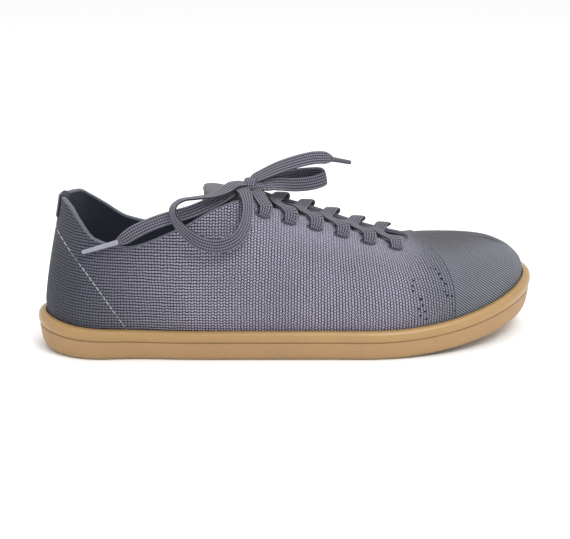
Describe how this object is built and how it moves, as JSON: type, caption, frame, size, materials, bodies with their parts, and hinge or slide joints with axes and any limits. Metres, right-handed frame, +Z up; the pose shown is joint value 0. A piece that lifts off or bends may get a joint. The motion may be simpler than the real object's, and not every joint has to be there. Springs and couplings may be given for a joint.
{
  "type": "barefoot shoe",
  "caption": "Low knitted barefoot shoe for the right foot on a thin gum cup sole, with a wide round toe and a flat lace tied in a bow.",
  "frame": {"origin": "on the ground, in the middle of the sole's length and width", "axes": "+X runs to the toe, +Y to the big toe side, +Z up"},
  "size_m": [0.286, 0.1041, 0.1041],
  "materials": {
    "gum": "smooth satin gum rubber, light brown",
    "lining": "matt dark navy textile",
    "knit": "coarse knitted yarn over dark gaps",
    "tongue_cloth": "fine smooth grey cloth",
    "lace": "flat woven lace with lengthwise ribs",
    "clear_aglet": "glossy translucent film",
    "dark_aglet": "dark satin film"
  },
  "bodies": {
    "root": {"outsole": "gum", "insole": "lining", "upper": "knit", "tongue": "tongue_cloth", "heel_tab": "lining", "lace_cross_1": "lace", "lace_cross_2": "lace", "lace_cross_3": "lace", "lace_cross_4": "lace", "lace_cross_5": "lace", "lace_top_lateral": "lace", "lace_top_medial": "lace", "lace_knot": "lace", "lace_loop_lateral": "lace", "lace_loop_medial": "lace", "lace_end_lateral": "lace", "lace_end_medial": "lace", "aglet_lateral": "clear_aglet", "aglet_medial": "dark_aglet"}
  },
  "joints": []
}
